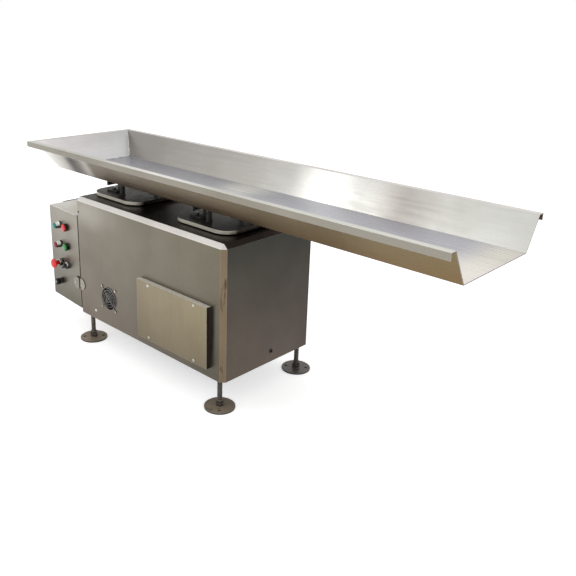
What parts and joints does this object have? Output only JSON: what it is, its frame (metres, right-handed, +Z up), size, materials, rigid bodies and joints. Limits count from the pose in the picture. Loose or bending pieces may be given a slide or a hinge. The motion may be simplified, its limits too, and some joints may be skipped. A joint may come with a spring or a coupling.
{
  "type": "linear vibratory feeder",
  "caption": "Straight stainless trough on leaf-spring electromagnetic drives inside a folded sheet cabinet with levelling feet and a hinged control panel.",
  "frame": {"origin": "on the floor below the middle of the tray", "axes": "+Z up, +X along the tray towards its open discharge end, -Y the front with the fan grille and the control panel"},
  "size_m": [1.84, 0.494, 0.751],
  "materials": {
    "tray_steel": "satin stainless sheet, folded",
    "case_steel": "brushed stainless sheet",
    "bright_steel": "bright stainless and chromed fittings",
    "foot_steel": "turned stainless",
    "zinc_steel": "zinc plated steel",
    "black_steel": "black paint",
    "frame_paint": "grey paint on welded tube",
    "drive_paint": "grey enamel on cast and welded parts",
    "core_steel": "varnished laminations and winding",
    "leaf_laminate": "glass-fibre laminate",
    "controller_aluminium": "finned extrusion",
    "black_plastic": "moulded black",
    "black_rubber": "moulded rubber",
    "pale_plastic": "moulded pale grey",
    "red_plastic": "moulded red",
    "green_plastic": "moulded green",
    "teal_lens": "moulded lens",
    "maroon_lens": "moulded lens"
  },
  "bodies": {
    "cabinet": {"cabinet_hood": "case_steel", "base_frame": "frame_paint", "foot_front_left": "foot_steel", "foot_front_right": "foot_steel", "foot_rear_left": "foot_steel", "foot_rear_right": "foot_steel", "foot_lock_nuts": "foot_steel", "service_cover": "case_steel", "case_screws": "bright_steel", "fan_guard": "bright_steel", "fan_frame": "black_plastic", "fan_screws": "bright_steel", "control_box": "case_steel", "box_handle": "black_plastic", "mounting_plate": "zinc_steel", "vibration_controller": "controller_aluminium", "door_catch": "black_plastic", "cabinet_hinge_leaf": "bright_steel", "hinge_pin": "bright_steel", "pivot_bracket": "bright_steel", "drive_base_1": "drive_paint", "drive_base_2": "drive_paint", "magnet_1": "core_steel", "magnet_2": "core_steel", "isolators": "black_rubber"},
    "fan": {"fan_rotor": "black_plastic"},
    "door": {"control_door": "case_steel", "door_hinge_leaf": "bright_steel", "start_housing": "black_plastic", "stop_housing": "black_plastic", "power_lamp_bezel": "bright_steel", "power_lamp_lens": "teal_lens", "fault_lamp_bezel": "bright_steel", "fault_lamp_lens": "maroon_lens", "estop_collar": "bright_steel", "selector_collar": "bright_steel", "speed_pot": "zinc_steel", "panel_nuts": "zinc_steel", "contact_blocks": "pale_plastic"},
    "start_button": {"start_cap": "green_plastic"},
    "stop_button": {"stop_cap": "red_plastic"},
    "emergency_stop": {"estop_head": "red_plastic"},
    "selector": {"selector_knob": "black_plastic"},
    "speed_control": {"speed_knob": "black_plastic"},
    "tray": {"tray": "tray_steel", "tray_bracket_1": "black_steel", "tray_bracket_2": "black_steel", "lid_1": "case_steel", "lid_2": "case_steel", "bracket_bolts": "bright_steel", "spacer_sleeves": "black_rubber", "spacer_studs": "bright_steel", "top_plate_1": "drive_paint", "top_plate_2": "drive_paint", "armature_1": "core_steel", "armature_2": "core_steel"},
    "spring_left_1": {"spring_left_1": "leaf_laminate"},
    "spring_right_1": {"spring_right_1": "leaf_laminate"},
    "spring_left_2": {"spring_left_2": "leaf_laminate"},
    "spring_right_2": {"spring_right_2": "leaf_laminate"}
  },
  "joints": [
    {"name": "tray_slide", "type": "slide", "parent": "cabinet", "child": "tray", "axis": [0.9272, 0, 0.3746], "range_m": [-0.001, 0.001], "stiffness_N_per_m": 2000000, "springref_m": 0.00011},
    {"name": "fan_spin", "type": "hinge", "parent": "cabinet", "child": "fan", "pos_m": [-0.449, -0.202, 0.217], "axis": [0, 1, 0], "continuous": true},
    {"name": "door_hinge", "type": "hinge", "parent": "cabinet", "child": "door", "pos_m": [-0.6365, -0.217, 0.228], "axis": [0, 0, 1], "range_deg": [0, 105]},
    {"name": "start_press", "type": "slide", "parent": "door", "child": "start_button", "axis": [0.0732, 0.9973, 0], "range_m": [0, 0.004], "stiffness_N_per_m": 500},
    {"name": "stop_press", "type": "slide", "parent": "door", "child": "stop_button", "axis": [0.0732, 0.9973, 0], "range_m": [0, 0.004], "stiffness_N_per_m": 500},
    {"name": "estop_press", "type": "slide", "parent": "door", "child": "emergency_stop", "axis": [0.0732, 0.9973, 0], "range_m": [0, 0.006]},
    {"name": "selector_turn", "type": "hinge", "parent": "door", "child": "selector", "pos_m": [-0.73324, -0.2099, 0.274], "axis": [-0.0732, -0.9973, 0], "range_deg": [-45, 45]},
    {"name": "speed_turn", "type": "hinge", "parent": "door", "child": "speed_control", "pos_m": [-0.80405, -0.2047, 0.186], "axis": [-0.0732, -0.9973, 0], "range_deg": [-150, 150]},
    {"name": "spring_left_1_sway", "type": "hinge", "parent": "cabinet", "child": "spring_left_1", "pos_m": [-0.51491, 0, 0.22948], "axis": [0, 1, 0], "range_deg": [-0.35, 0.35]},
    {"name": "spring_right_1_sway", "type": "hinge", "parent": "cabinet", "child": "spring_right_1", "pos_m": [-0.40491, 0, 0.22948], "axis": [0, 1, 0], "range_deg": [-0.35, 0.35]},
    {"name": "spring_left_2_sway", "type": "hinge", "parent": "cabinet", "child": "spring_left_2", "pos_m": [-0.03991, 0, 0.22948], "axis": [0, 1, 0], "range_deg": [-0.35, 0.35]},
    {"name": "spring_right_2_sway", "type": "hinge", "parent": "cabinet", "child": "spring_right_2", "pos_m": [0.07009, 0, 0.22948], "axis": [0, 1, 0], "range_deg": [-0.35, 0.35]}
  ],
  "couplings": [
    {"joint": "spring_left_1_sway", "follows": "tray_slide", "rad_per_m": 5.2632},
    {"joint": "spring_right_1_sway", "follows": "tray_slide", "rad_per_m": 5.2632},
    {"joint": "spring_left_2_sway", "follows": "tray_slide", "rad_per_m": 5.2632},
    {"joint": "spring_right_2_sway", "follows": "tray_slide", "rad_per_m": 5.2632}
  ]
}
